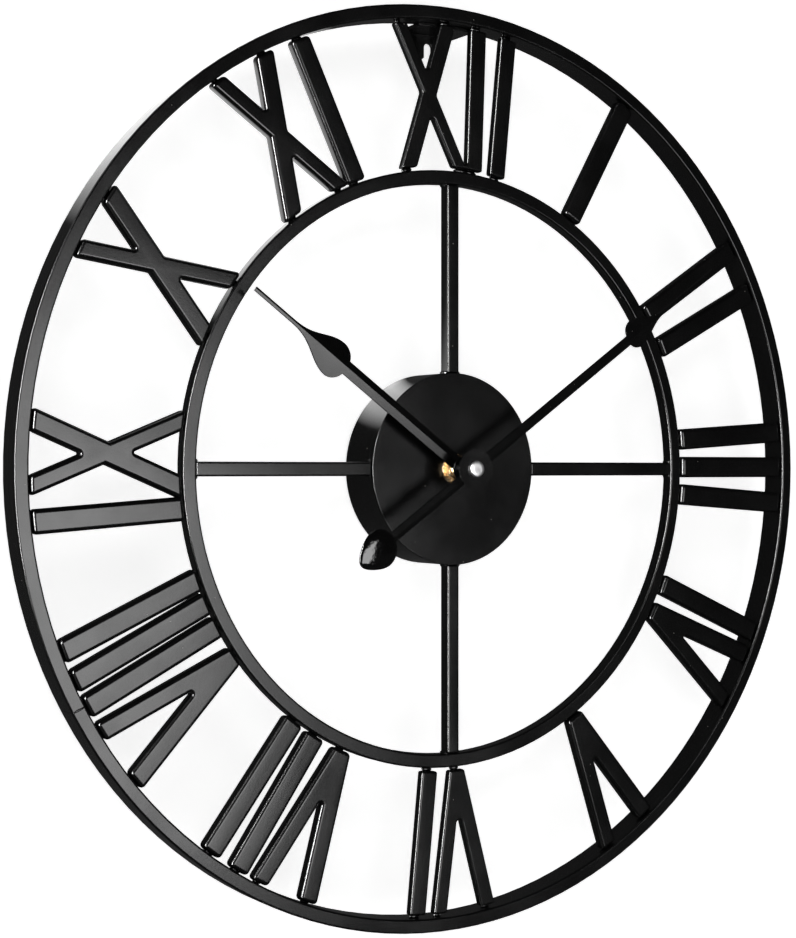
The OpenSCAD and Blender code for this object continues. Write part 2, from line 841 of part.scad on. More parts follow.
module minute_arbor() {
    top = minute_h - hand_t;
    color([0.8, 0.8, 0.8]) from_wall() {
        translate([0, 0, arbor_foot_h]) cylinder(r = arbor_r + 0.6, h = 0.25);
        translate([0, 0, arbor_foot_h]) cylinder(r = arbor_r, h = top - arbor_foot_h);
        translate([0, 0, cannon_h])
            linear_extrude(cannon_l) gear_shape(cannon_teeth, motion_m, true);
        translate([0, 0, top - eps])
            clock(minute_angle) flatted_stud(hand_t + minute_nut_t - 0.4 + eps);
    }
}

// Round cap nut with a shallow dome
module minute_nut() {
    edge = 0.35;
    color([0.86, 0.86, 0.87]) from_wall(minute_h)
        difference() {
            rotate_extrude()
                polygon([[0, 0], [minute_nut_r, 0], [minute_nut_r, minute_nut_t - 0.6],
                         [minute_nut_r - edge, minute_nut_t - 0.2],
                         [minute_nut_r / 2, minute_nut_t], [0, minute_nut_t]]);
            translate([0, 0, -past]) cylinder(r = stud_r, h = minute_nut_t - 0.4 + past);
        }
}

outer_ring();
inner_ring();
spoke(0);  // spoke_12
spoke(90);  // spoke_3
spoke(180);  // spoke_6
spoke(270);  // spoke_9
numeral(1);  // numeral_1
numeral(2);  // numeral_2
numeral(3);  // numeral_3
numeral(4);  // numeral_4
numeral(5);  // numeral_5
numeral(6);  // numeral_6
numeral(7);  // numeral_7
numeral(8);  // numeral_8
numeral(9);  // numeral_9
numeral(10);  // numeral_10
numeral(11);  // numeral_11
numeral(12);  // numeral_12
hub_drum();
hanger_plate();
hex_nut();
brass_washer();
rubber_washer();
threaded_bush();
movement_front();
movement_back();
train_pins();
stator();
coil();
circuit_board();
battery_spring_contact();
battery_flat_contact();
battery();
hour_hand();
hour_pipe();
minute_hand();
minute_counterweight();
minute_arbor();
minute_nut();
motion_wheel();
setting_knob();
minute_wheel();
third_wheel();
seconds_wheel();
intermediate_wheel();
rotor();
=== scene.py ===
# %% [markdown]
# # An openwork metal wall clock
# The clock is a welded frame of black painted bar, twelve pressed numerals, a hub drum
# that hides a battery movement, and two folded sheet hands. The hard shapes come from the
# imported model. This file gives them rounded edges, welds, paint and light.

import json
import math
import random

import bmesh
import bpy
from mathutils import Euler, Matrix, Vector


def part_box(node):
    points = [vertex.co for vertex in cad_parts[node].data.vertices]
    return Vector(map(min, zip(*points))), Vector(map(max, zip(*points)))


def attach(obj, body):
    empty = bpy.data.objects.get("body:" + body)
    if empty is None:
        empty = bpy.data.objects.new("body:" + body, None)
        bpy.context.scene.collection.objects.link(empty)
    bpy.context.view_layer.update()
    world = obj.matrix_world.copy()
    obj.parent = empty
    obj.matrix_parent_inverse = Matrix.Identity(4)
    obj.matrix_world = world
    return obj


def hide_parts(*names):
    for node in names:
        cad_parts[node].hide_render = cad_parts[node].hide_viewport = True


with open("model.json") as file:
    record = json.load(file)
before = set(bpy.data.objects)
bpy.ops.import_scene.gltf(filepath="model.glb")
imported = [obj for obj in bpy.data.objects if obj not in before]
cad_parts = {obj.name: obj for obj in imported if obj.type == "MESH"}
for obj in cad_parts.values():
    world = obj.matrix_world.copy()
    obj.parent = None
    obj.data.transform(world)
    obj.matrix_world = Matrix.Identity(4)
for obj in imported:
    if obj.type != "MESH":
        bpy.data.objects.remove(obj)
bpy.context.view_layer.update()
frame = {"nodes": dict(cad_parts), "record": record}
nodes = frame["nodes"]
MM = 0.001

# %% [markdown]
# ## Camera
# The viewer stands to the left of the clock, level with its centre, about eighty
# centimetres away. A longish lens keeps the perspective gentle, yet the near side of the
# ring still looks a little larger than the far side.

# %% Camera
camera_data = bpy.data.cameras.new("camera")
camera_data.lens = 70.1
camera_data.sensor_width = 36
camera_data.clip_start = 0.02
camera = bpy.data.objects.new("camera", camera_data)
camera.location = (-0.4454, -0.6785, 0.0)
camera.rotation_euler = Euler((math.radians(90.0), 0.0, math.radians(-32.4)))
bpy.context.scene.collection.objects.link(camera)
bpy.context.scene.camera = camera
bpy.context.scene.view_settings.view_transform = "Standard"
print("camera at", tuple(round(v, 3) for v in camera.location))

# %% [markdown]
# ## Node helpers
# Every finish is a small network of nodes. Two short helpers add a node and wire it, so
# that each material below reads as a list of what it does.

# %% Node helpers
def add(tree, kind, place=(0, 0), **values):
    """Adds a node of one kind and sets its properties or its input sockets by name."""
    made = tree.nodes.new(kind)
    made.location = place
    for name, value in values.items():
        if hasattr(made, name):
            setattr(made, name, value)
        else:
            made.inputs[name.replace("_", " ")].default_value = value
    return made


def wire(tree, source, target):
    tree.links.new(source, target)


# %% [markdown]
# ## Shared effects
# Three effects turn up on many parts, so each is a node group. Paint pulls into a fine
# orange peel as it dries. Dust settles as pale specks and lands in the wet paint as nibs.
# Handling and stoving leave slow patches that are a little glossier or duller.

# %% Shared effect groups
def new_group(name, inputs, outputs):
    """An empty shader node group with named float inputs and outputs."""
    group = bpy.data.node_groups.new(name, "ShaderNodeTree")
    for label, value in inputs:
        socket = group.interface.new_socket(label, in_out="INPUT", socket_type="NodeSocketFloat")
        socket.default_value = value
    for label in outputs:
        group.interface.new_socket(label, in_out="OUTPUT", socket_type="NodeSocketFloat")
    start = add(group, "NodeGroupInput", (-800, 0))
    end = add(group, "NodeGroupOutput", (600, 0))
    place = add(group, "ShaderNodeTexCoord", (-800, -200))
    return group, start, end, place.outputs["Object"]


def build_grain():
    """Even fine relief, for orange peel, moulded plastic or cast skin."""
    group, start, end, where = new_group("grain", [("Scale", 900.0), ("Depth", 1.0)], ["Height"])
    fine = add(group, "ShaderNodeTexNoise", (-500, 0), Detail=3.0, Roughness=0.55)
    wire(group, where, fine.inputs["Vector"])
    wire(group, start.outputs["Scale"], fine.inputs["Scale"])
    deep = add(group, "ShaderNodeMath", (-200, 0), operation="MULTIPLY")
    wire(group, fine.outputs["Fac"], deep.inputs[0])
    wire(group, start.outputs["Depth"], deep.inputs[1])
    wire(group, deep.outputs[0], end.inputs["Height"])
    return group


def build_specks():
    """Sparse round dust specks: one where a speck is and zero elsewhere."""
    group, start, end, where = new_group("specks", [("Scale", 260.0), ("Size", 0.1)], ["Mask"])
    cells = add(group, "ShaderNodeTexVoronoi", (-500, 0), feature="F1")
    wire(group, where, cells.inputs["Vector"])
    wire(group, start.outputs["Scale"], cells.inputs["Scale"])
    near = add(group, "ShaderNodeMath", (-250, 100), operation="LESS_THAN")
    wire(group, cells.outputs["Distance"], near.inputs[0])
    wire(group, start.outputs["Size"], near.inputs[1])
    tint = add(group, "ShaderNodeSeparateColor", (-250, -120))
    wire(group, cells.outputs["Color"], tint.inputs[0])
    few = add(group, "ShaderNodeMath", (0, -120), operation="GREATER_THAN")
    few.inputs[1].default_value = 0.86
    wire(group, tint.outputs[0], few.inputs[0])
    both = add(group, "ShaderNodeMath", (200, 0), operation="MULTIPLY")
    wire(group, near.outputs[0], both.inputs[0])
    wire(group, few.outputs[0], both.inputs[1])
    wire(group, both.outputs[0], end.inputs["Mask"])
    return group


def build_patches():
    """A slow change between two levels, for gloss or colour that is never quite even."""
    group, start, end, where = new_group(
        "patches", [("Scale", 30.0), ("Low", 0.3), ("High", 0.4)], ["Value"])
    slow = add(group, "ShaderNodeTexNoise", (-500, 0), Detail=4.0, Roughness=0.6)
    wire(group, where, slow.inputs["Vector"])
    wire(group, start.outputs["Scale"], slow.inputs["Scale"])
    spread = add(group, "ShaderNodeMapRange", (-200, 0))
    spread.inputs["From Min"].default_value = 0.35
    spread.inputs["From Max"].default_value = 0.65
    wire(group, slow.outputs["Fac"], spread.inputs["Value"])
    wire(group, start.outputs["Low"], spread.inputs["To Min"])
    wire(group, start.outputs["High"], spread.inputs["To Max"])
    wire(group, spread.outputs[0], end.inputs["Value"])
    return group


GRAIN, SPECKS, PATCHES = build_grain(), build_specks(), build_patches()
print("effect groups", [g.name for g in (GRAIN, SPECKS, PATCHES)])

# %% [markdown]
# ## Finishes
# One function makes every finish from the same three effects: patches vary the gloss,
# grain gives the relief, and specks lighten the colour where dust sits. What differs from
# one finish to the next is the numbers, and for a few parts an extra pattern.

# %% A finish
def use(tree, group, place, **values):
    """Places a node group with its own values."""
    made = add(tree, "ShaderNodeGroup", place)
    made.node_tree = group
    for name, value in values.items():
        made.inputs[name].default_value = value
    return made


def finish(name, colour, second=None, gloss=(0.3, 0.4), metal=0.0, coat=0.0, ior=1.5,
           grain=(900.0, 0.00002), patch=40.0, dust=0.0, speck=(260.0, 0.1), spread=0.5):
    """A material whose colour, roughness and relief all vary over the surface."""
    material = bpy.data.materials.new(name)
    material.use_nodes = True
    tree = material.node_tree
    shader = tree.nodes["Principled BSDF"]
    shader.inputs["Metallic"].default_value = metal
    shader.inputs["Coat Weight"].default_value = coat
    shader.inputs["Coat Roughness"].default_value = 0.08
    shader.inputs["IOR"].default_value = ior
    rough = use(tree, PATCHES, (-500, -100), Scale=patch, Low=gloss[0], High=gloss[1])
    wire(tree, rough.outputs["Value"], shader.inputs["Roughness"])
    mottle = use(tree, PATCHES, (-900, 300), Scale=patch * 2.3, Low=0.0, High=spread)
    tint = add(tree, "ShaderNodeMix", (-500, 300), data_type="RGBA")
    tint.inputs["A"].default_value = (*colour, 1)
    tint.inputs["B"].default_value = (*(second or [c * 1.35 for c in colour]), 1)
    wire(tree, mottle.outputs["Value"], tint.inputs["Factor"])
    colour_out = tint.outputs["Result"]
    if dust:
        specks = use(tree, SPECKS, (-900, 0), Scale=speck[0], Size=speck[1])
        fade = add(tree, "ShaderNodeMath", (-700, 0), operation="MULTIPLY")
        fade.inputs[1].default_value = dust
        wire(tree, specks.outputs["Mask"], fade.inputs[0])
        dusty = add(tree, "ShaderNodeMix", (-250, 300), data_type="RGBA")
        dusty.inputs["B"].default_value = (0.42, 0.4, 0.37, 1)
        wire(tree, colour_out, dusty.inputs["A"])
        wire(tree, fade.outputs[0], dusty.inputs["Factor"])
        colour_out = dusty.outputs["Result"]
    wire(tree, colour_out, shader.inputs["Base Color"])
    relief = use(tree, GRAIN, (-500, -400), Scale=grain[0], Depth=grain[1])
    bump = add(tree, "ShaderNodeBump", (-250, -400), Strength=1.0, Distance=1.0)
    wire(tree, relief.outputs["Height"], bump.inputs["Height"])
    wire(tree, bump.outputs["Normal"], shader.inputs["Normal"])
    return material


# %% [markdown]
# ## The clock's own finishes
# The frame has a satin black powder coat. Its skin is smooth enough to show soft
# reflections, so the numerals that face a pale part of the room look grey. The hands are
# a little glossier, and the counterweight is high-gloss enamel.

# %% Paints
frame_paint = finish("frame_paint", (0.0014, 0.0014, 0.0016), gloss=(0.19, 0.25), dust=0.5,
                     grain=(1100.0, 0.000012), patch=35.0, speck=(200.0, 0.05))
hand_paint = finish("hand_paint", (0.0012, 0.0012, 0.0014), gloss=(0.19, 0.25), dust=0.5,
                    grain=(1500.0, 0.00001), patch=60.0, speck=(300.0, 0.06))
weight_gloss = finish("weight_gloss", (0.002, 0.002, 0.0022), gloss=(0.05, 0.08), coat=0.3,
                      grain=(280.0, 0.00015), dust=0.35, speck=(500.0, 0.05))
print("paints ready")

# %% [markdown]
# ## Metals, rubber and plastics
# Turned brass and nickel carry faint marks from the lathe, so their patches are small.
# Moulded plastic has a fine spark-eroded grain. The ivory wheels are a slightly waxy
# plastic, and bare iron shows darker blooms of oxide.

# %% Other finishes
FINISHES = {
    "frame_paint": frame_paint,
    "hand_paint": hand_paint,
    "weight_gloss": weight_gloss,
    "brass": finish("brass", (0.78, 0.56, 0.32), (0.88, 0.7, 0.46), gloss=(0.18, 0.3),
                    metal=1.0, patch=420.0, grain=(3000.0, 0.000006)),
    "nickel": finish("nickel", (0.74, 0.74, 0.75), (0.86, 0.85, 0.84), gloss=(0.3, 0.42),
                     metal=1.0, patch=500.0, grain=(2500.0, 0.000004)),
    "rubber": finish("rubber", (0.012, 0.012, 0.012), gloss=(0.7, 0.85), dust=0.6,
                     grain=(1800.0, 0.00004), patch=150.0),
    "case_plastic": finish("case_plastic", (0.013, 0.013, 0.014), gloss=(0.42, 0.55),
                           dust=0.4, grain=(4200.0, 0.00003), patch=90.0),
    "wheel_plastic": finish("wheel_plastic", (0.74, 0.71, 0.62), (0.82, 0.8, 0.72),
                            gloss=(0.3, 0.42), grain=(2500.0, 0.00001), patch=160.0),
    "steel": finish("steel", (0.46, 0.46, 0.48), (0.58, 0.58, 0.6), gloss=(0.25, 0.38),
                    metal=1.0, patch=700.0, grain=(3000.0, 0.000005)),
    "iron": finish("iron", (0.17, 0.17, 0.18), (0.33, 0.32, 0.32), gloss=(0.35, 0.55),
                   metal=1.0, patch=260.0, grain=(2200.0, 0.00001), spread=1.0),
    "copper": finish("copper", (0.5, 0.16, 0.06), (0.68, 0.26, 0.1), gloss=(0.25, 0.4),
                     metal=1.0, patch=300.0),
    "board": finish("board", (0.02, 0.1, 0.035), (0.03, 0.16, 0.055), gloss=(0.25, 0.4),
                    patch=500.0, spread=1.0),
    "cell": finish("cell", (0.015, 0.05, 0.16), (0.02, 0.07, 0.2), gloss=(0.2, 0.32),
                   coat=0.3, patch=120.0, dust=0.3),
}
print("finishes", len(FINISHES))

# %% [markdown]
# ### Patterns that belong to one part
# The coil is wire wound in neat turns, so its relief is a set of bands along its length.
# The circuit board carries copper tracks that show paler through the green lacquer, and
# the cell's sleeve has a coloured band at its positive end.

# %% Coil, board and cell patterns
def bands(material, axis, scale, colour, amount, relief=0.0, phase=0.0):
    """Mixes straight bands across one axis into a finish."""
    tree = material.node_tree
    shader = tree.nodes["Principled BSDF"]
    place = add(tree, "ShaderNodeTexCoord", (-1300, 600))
    wave = add(tree, "ShaderNodeTexWave", (-1100, 600), bands_direction=axis, Scale=scale,
               Distortion=0.4, Phase_Offset=phase)
    wire(tree, place.outputs["Object"], wave.inputs["Vector"])
    sharp = add(tree, "ShaderNodeMapRange", (-900, 600))
    sharp.inputs["From Min"].default_value = 0.55
    sharp.inputs["From Max"].default_value = 0.65
    sharp.inputs["To Max"].default_value = amount
    wire(tree, wave.outputs["Fac"], sharp.inputs["Value"])
    was = shader.inputs["Base Color"].links[0].from_socket
    mix = add(tree, "ShaderNodeMix", (-100, 600), data_type="RGBA")
    mix.inputs["B"].default_value = (*colour, 1)
    wire(tree, was, mix.inputs["A"])
    wire(tree, sharp.outputs[0], mix.inputs["Factor"])
    wire(tree, mix.outputs["Result"], shader.inputs["Base Color"])
    if relief:
        bump = add(tree, "ShaderNodeBump", (-100, -500), Strength=1.0, Distance=relief)
        under = shader.inputs["Normal"].links[0].from_socket
        wire(tree, under, bump.inputs["Normal"])
        wire(tree, wave.outputs["Fac"], bump.inputs["Height"])
        wire(tree, bump.outputs["Normal"], shader.inputs["Normal"])


bands(FINISHES["copper"], "X", 900.0, (0.22, 0.06, 0.02), 0.8, 0.0001)
bands(FINISHES["board"], "DIAGONAL", 160.0, (0.16, 0.3, 0.1), 0.7)
bands(FINISHES["cell"], "X", 4.5, (0.62, 0.36, 0.1), 1.0, phase=0.8)

# %% [markdown]
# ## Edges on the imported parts
# A real bar has no knife edges: rolling and powder coat leave a small round that catches
# the light as a thin bright line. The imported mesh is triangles, so it is welded, its flat
# faces are joined, and then its edges are rounded. All of that is done by modifiers, which
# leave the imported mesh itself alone. The hands have a shallow fold down the middle, so their
# limit is lower: the fold gets a crisp little round of its own and each half stays flat.

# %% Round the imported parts' edges
EDGE_STEPS, FLAT_JOIN = 3, 0.6
SHARP_TURN, FOLD_TURN = 32.0, 20.0


def weighted(obj, keep_sharp=False):
    """Lets the large flat faces set the shading normals next to a rounded edge."""
    normals = obj.modifiers.new("normals", "WEIGHTED_NORMAL")
    normals.keep_sharp = keep_sharp
    normals.weight = 100


def soften(name, width, limit):
    """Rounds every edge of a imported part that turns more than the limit, in degrees."""
    obj = nodes[name]
    weld = obj.modifiers.new("weld", "WELD")
    weld.merge_threshold = 0.000004
    flat = obj.modifiers.new("flat", "DECIMATE")
    flat.decimate_type = "DISSOLVE"
    flat.angle_limit = math.radians(FLAT_JOIN)
    edge = obj.modifiers.new("edge", "BEVEL")
    edge.width = width
    edge.segments = EDGE_STEPS
    edge.limit_method = "ANGLE"
    edge.angle_limit = math.radians(limit)
    edge.use_clamp_overlap = True
    weighted(obj)


slots = {part["node"]: part["material_slot"] for part in frame["record"]["subparts"]}
for name, obj in nodes.items():
    obj.data.materials.clear()
    obj.data.materials.append(FINISHES[slots[name]])

EDGE_ROUNDS = {
    "outer_ring": 0.9, "inner_ring": 0.9, "spoke_12": 0.9, "spoke_3": 0.9, "spoke_6": 0.9,
    "spoke_9": 0.9, "hub_drum": 0.38, "hanger_plate": 0.3, "hex_nut": 0.12,
    "brass_washer": 0.15, "rubber_washer": 0.15, "movement_front": 0.25,
    "movement_back": 0.25, "stator": 0.1, "circuit_board": 0.1, "hour_hand": 0.14,
    "minute_hand": 0.2, "minute_nut": 0.25, "setting_knob": 0.15,
    "battery_spring_contact": 0.06, "battery_flat_contact": 0.1,
}
for name, width in EDGE_ROUNDS.items():
    soften(name, width * MM, FOLD_TURN if name.endswith("_hand") else SHARP_TURN)
print("rounded", len(EDGE_ROUNDS), "packed parts")

# %% [markdown]
# ## Numerals
# Each numeral is a shallow tray pressed from sheet, open at the back. Its outline is
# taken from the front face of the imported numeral, so it always fits the rings. Modelling
# the trays by hand would be slower and could miss the rings. These helpers read the outline
# and turn finished geometry into a piece that rides on its body.

# %% Small mesh helpers
def mesh_object(name, bm, body, slot, sharp=38.0):
    """Turns a bmesh into a smooth shaded piece that rides on a body."""
    mesh = bpy.data.meshes.new(name)
    bm.normal_update()
    bm.to_mesh(mesh)
    bm.free()
    mesh.shade_smooth()
    mesh.set_sharp_from_angle(angle=math.radians(sharp))
    obj = bpy.data.objects.new(name, mesh)
    bpy.context.scene.collection.objects.link(obj)
    mesh.materials.append(FINISHES[slot])
    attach(obj, body)
    return obj


def front_outline(name):
    """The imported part's front face as one or more flat faces in a new bmesh."""
    bm = bmesh.new()
    bm.from_mesh(nodes[name].data)
    bmesh.ops.remove_doubles(bm, verts=bm.verts, dist=0.000004)
    front = min(v.co.y for v in bm.verts)
    behind = [f for f in bm.faces if any(v.co.y > front + 0.00002 for v in f.verts)]
    bmesh.ops.delete(bm, geom=behind, context="FACES")
    bmesh.ops.dissolve_limit(bm, angle_limit=math.radians(0.8), verts=bm.verts,
                             edges=bm.edges)
    return bm, front


# %% [markdown]
# ### Pressing a tray
# The steps follow the press. The sharp inward corners are rounded, then the sheet is drawn
# back for the walls, the edges get their press radius, and last the sheet gets its
# thickness. Where each stroke meets a ring is noted first, because a weld goes there.

# %% Press the numerals' trays
TRAY_DEPTH = 4.0 * MM
SHEET = 0.75 * MM
PRESS_RADIUS = 1.1 * MM
CROTCH_RADIUS = 1.3 * MM
stroke_ends = []


def keep_ends(bm):
    """Notes where each stroke meets a ring: its middle, its width and its direction."""
    reach = [math.hypot(v.co.x, v.co.z) for v in bm.verts]
    for ring in (min(reach), max(reach)):
        rim = [e for e in bm.edges if e.is_boundary
               and all(abs(math.hypot(v.co.x, v.co.z) - ring) < 0.0002 for v in e.verts)]
        while rim:
            run = [rim.pop()]
            grown = True
            while grown:
                grown = [e for e in rim if any(v in o.verts for o in run for v in e.verts)]
                run += grown
                rim = [e for e in rim if e not in run]
            points = [v.co for e in run for v in e.verts]
            angles = sorted(math.atan2(p.x, p.z) for p in points)
            if angles[-1] - angles[0] > math.pi:
                angles = sorted(a % (2 * math.pi) for a in angles)
            width = (angles[-1] - angles[0]) * ring
            stroke_ends.append(((angles[0] + angles[-1]) / 2, width, ring < 0.16))


def round_crotches(bm):
    """Rounds the outline's sharp inward corners, where two strokes meet."""
    for face in list(bm.faces):
        outline = []
        for corner in face.loops:
            here, angle = corner.vert.co.copy(), corner.calc_angle()
            if corner.is_convex or angle > math.radians(100):
                outline.append(here)
                continue
            one = (corner.link_loop_prev.vert.co - here).normalized()
            two = (corner.link_loop_next.vert.co - here).normalized()
            radius = min(CROTCH_RADIUS, 0.0015 * angle)
            middle = here + (one + two).normalized() * radius / math.sin(angle / 2)
            reach = radius / math.tan(angle / 2)
            start, end = here + one * reach - middle, here + two * reach - middle
            outline += [middle + start.slerp(end, k / 8) * radius for k in range(9)]
        bm.faces.new([bm.verts.new(p) for p in outline])
        bmesh.ops.delete(bm, geom=[face], context="FACES")
    bm.normal_update()


def press_tray(name):
    bm, front = front_outline(name)
    keep_ends(bm)
    round_crotches(bm)
    for v in bm.verts:
        v.co.y = front + TRAY_DEPTH
    drawn = bmesh.ops.extrude_face_region(bm, geom=list(bm.faces))["geom"]
    cap = {f for f in drawn if isinstance(f, bmesh.types.BMFace)}
    for v in {v for f in cap for v in f.verts}:
        v.co.y = front
    bmesh.ops.recalc_face_normals(bm, faces=bm.faces)
    pressed = [e for e in bm.edges if len(e.link_faces) == 2
               and e.calc_face_angle() > 0.5]
    bmesh.ops.bevel(bm, geom=pressed, offset=PRESS_RADIUS, segments=4, profile=0.5,
                    affect="EDGES", clamp_overlap=False)
    bmesh.ops.recalc_face_normals(bm, faces=bm.faces)
    if sum(f.normal.y * f.calc_area() for f in bm.faces) > 0:
        bmesh.ops.reverse_faces(bm, faces=bm.faces)
    bmesh.ops.solidify(bm, geom=bm.faces, thickness=SHEET)
    tray = mesh_object(name + "_tray", bm, "frame", "frame_paint")
    weighted(tray, keep_sharp=True)
    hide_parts(name)


for hour in range(1, 13):
    press_tray(f"numeral_{hour}")
print("trays 12, stroke ends", len(stroke_ends))

# %% [markdown]
# ## Welds
# The frame is held together by short welds, painted over with everything else. A weld is
# a row of overlapping drops, so each one here is a bent tube whose radius swells and
# shrinks a little from ring to ring.

# %% Weld beads
INNER_R, OUTER_IN, DRUM_R, BAR = 0.1295, 0.194, 0.0417, 0.006
FRONT_H, BACK_H = 0.0218, 0.0158
draw = random.Random(7)


def dial_point(angle, radius, height):
    """A point from its clock angle, distance from the arbor and height off the wall."""
    return Vector((radius * math.sin(angle), -height, radius * math.cos(angle)))


def weld_bead(bm, path, radius, sides=10):
    """Adds a lumpy bead along a path to a bmesh, closed at both ends."""
    loops = []
    for i, point in enumerate(path):
        ahead = path[min(i + 1, len(path) - 1)] - path[max(i - 1, 0)]
        ahead.normalize()
        side = ahead.cross(Vector((0.31, 0.52, 0.79))).normalized()
        up = ahead.cross(side)
        share = i / (len(path) - 1)
        swell = math.sqrt(max(0.04, 1 - (2 * share - 1) ** 4))
        swell *= 0.88 + 0.24 * draw.random()
        loop = []
        for k in range(sides):
            a = 2 * math.pi * k / sides
            loop.append(bm.verts.new(
                point + (side * math.cos(a) + up * math.sin(a)) * radius * swell))
        loops.append(loop)
    for one, two in zip(loops, loops[1:]):
        for k in range(sides):
            n = (k + 1) % sides
            bm.faces.new((one[k], one[n], two[n], two[k]))
    bm.faces.new(loops[0][::-1])
    bm.faces.new(loops[-1])


def line(start, end, count):
    """Evenly spaced points from start to end."""
    return [start.lerp(end, i / (count - 1)) for i in range(count)]


print("ring inside", OUTER_IN, "drum", DRUM_R)


# %% [markdown]
# ### Spoke welds
# Each spoke is welded on both sides, at the drum and at the inner ring, so sixteen short
# beads run from the back of the bar to its front.

# %% Welds at the spokes
bm = bmesh.new()
for quarter in range(4):
    a = quarter * math.pi / 2
    for radius in (DRUM_R + 0.0002, INNER_R - BAR - 0.0002):
        for s in (-1, 1):
            turn = s * (BAR / 2 + 0.0003) / radius
            weld_bead(bm, line(dial_point(a + turn, radius, BACK_H + 0.0005),
                               dial_point(a + turn, radius, FRONT_H - 0.0006), 9), 0.0009)
mesh_object("spoke_welds", bm, "frame", "frame_paint")
print("spoke ends welded", 8, "with two beads each")

# %% [markdown]
# ### Numeral welds
# Every stroke was noted when its tray was pressed, with its middle, its width and its ring.
# A short curved bead fills the gap between the tray's end and that ring.

# %% Welds at the numerals' ends
bm = bmesh.new()
for angle, width, inner in stroke_ends:
    radius = INNER_R + 0.0007 if inner else OUTER_IN - 0.0007
    half = max(width / 2 - 0.0016, 0.0012) / radius
    count = max(5, int(width / 0.0009))
    arc = [dial_point(angle - half + 2 * half * i / (count - 1), radius, 0.0186)
           for i in range(count)]
    weld_bead(bm, arc, 0.0011)
mesh_object("numeral_welds", bm, "frame", "frame_paint")
print("numeral ends welded", len(stroke_ends))

# %% [markdown]
# ### Ring seam
# The outer ring is one bar rolled round and butt welded at the lower left. The weld was
# dressed nearly flush, so only a thin line shows across the front and down the outer side.

# %% Seam of the outer ring
RING_R, RING_FRONT, RING_BACK = 0.2, 0.0231, 0.0104
SEAM_ANGLE = math.radians(242.0)
bm = bmesh.new()
weld_bead(bm, line(dial_point(SEAM_ANGLE, OUTER_IN + 0.0002, RING_FRONT - 0.0003),
                   dial_point(SEAM_ANGLE + 0.002, RING_R - 0.0002, RING_FRONT - 0.0003), 8), 0.0006)
weld_bead(bm, line(dial_point(SEAM_ANGLE + 0.002, RING_R - 0.0004, RING_FRONT - 0.0004),
                   dial_point(SEAM_ANGLE, RING_R - 0.0004, RING_BACK + 0.0004), 14), 0.0006)
mesh_object("ring_seam", bm, "frame", "frame_paint")
print("seam at", round(math.degrees(SEAM_ANGLE)), "degrees")

# %% [markdown]
# ## Counterweight
# The teardrop on the minute hand's tail is a solid cast drop with a pillowed face and a
# thick coat of enamel. The outline is a circle drawn out at one end. Rings of that outline
# shrink towards the middle while they rise, which gives the pillow.

# %% Counterweight
HAND_ANGLE = math.radians(55.5)
WEIGHT_Y, WEIGHT_R, WEIGHT_TIP = -0.0585, 0.0083, -0.070
weight_low, weight_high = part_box("minute_counterweight")
WEIGHT_FRONT, WEIGHT_BACK = -weight_low.y, -weight_high.y


def teardrop(count=64):
    """Outline points of the drop about its own round centre, narrow end towards -y."""
    draw_out = (WEIGHT_Y - WEIGHT_TIP) / WEIGHT_R - 1
    points = []
    for i in range(count):
        a = 2 * math.pi * i / count
        low = max(0.0, -math.sin(a))
        points.append(Vector((WEIGHT_R * math.cos(a) * (1 - 0.12 * low * low),
                              WEIGHT_R * math.sin(a) * (1 + draw_out * low * low))))
    return points


outline = teardrop()
mid = (WEIGHT_FRONT + WEIGHT_BACK) / 2
thick = (WEIGHT_FRONT - WEIGHT_BACK) / 2
bm = bmesh.new()
loops = []
levels = [math.pi * (i / 28 - 0.5) for i in range(1, 28)]
for level in levels:
    shrink = abs(math.cos(level)) ** 0.8
    height = mid + thick * math.sin(level)
    loop = []
    for p in outline:
        x, y = p.x * shrink, WEIGHT_Y + p.y * shrink
        r, a = math.hypot(x, y), HAND_ANGLE + math.atan2(x, y)
        loop.append(bm.verts.new(dial_point(a, r, height)))
    loops.append(loop)
for one, two in zip(loops, loops[1:]):
    for k in range(len(outline)):
        n = (k + 1) % len(outline)
        bm.faces.new((one[k], two[k], two[n], one[n]))
bm.faces.new(loops[0])
bm.faces.new(loops[-1][::-1])
bmesh.ops.recalc_face_normals(bm, faces=bm.faces)
drop = mesh_object("counterweight_drop", bm, "minute_set", "weight_gloss", 60)
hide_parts("minute_counterweight")
print("counterweight", round(2 * WEIGHT_R * 1000, 1), "mm across")

# %% [markdown]
# ## Battery cell
# A cell is a steel can in a thin shrink sleeve. The sleeve turns over the ends with a
# small round, and the steel shows as a ring and a button at the positive end. A profile
# spun round the cell's axis makes it in one go.

# %% Battery cell
def lathe(bm, profile, centre, sides=48):
    """Spins (distance along +X, radius) pairs round an axis that runs along X."""
    loops = []
    for along, radius in profile:
        loop = []
        for k in range(sides):
            a = 2 * math.pi * k / sides
            loop.append(bm.verts.new(centre + Vector(
                (along, radius * math.cos(a), radius * math.sin(a)))))
        loops.append(loop)
    for one, two in zip(loops, loops[1:]):
        for k in range(sides):
            n = (k + 1) % sides
            bm.faces.new((one[k], one[n], two[n], two[k]))
    bm.faces.new(loops[0][::-1])
    bm.faces.new(loops[-1])


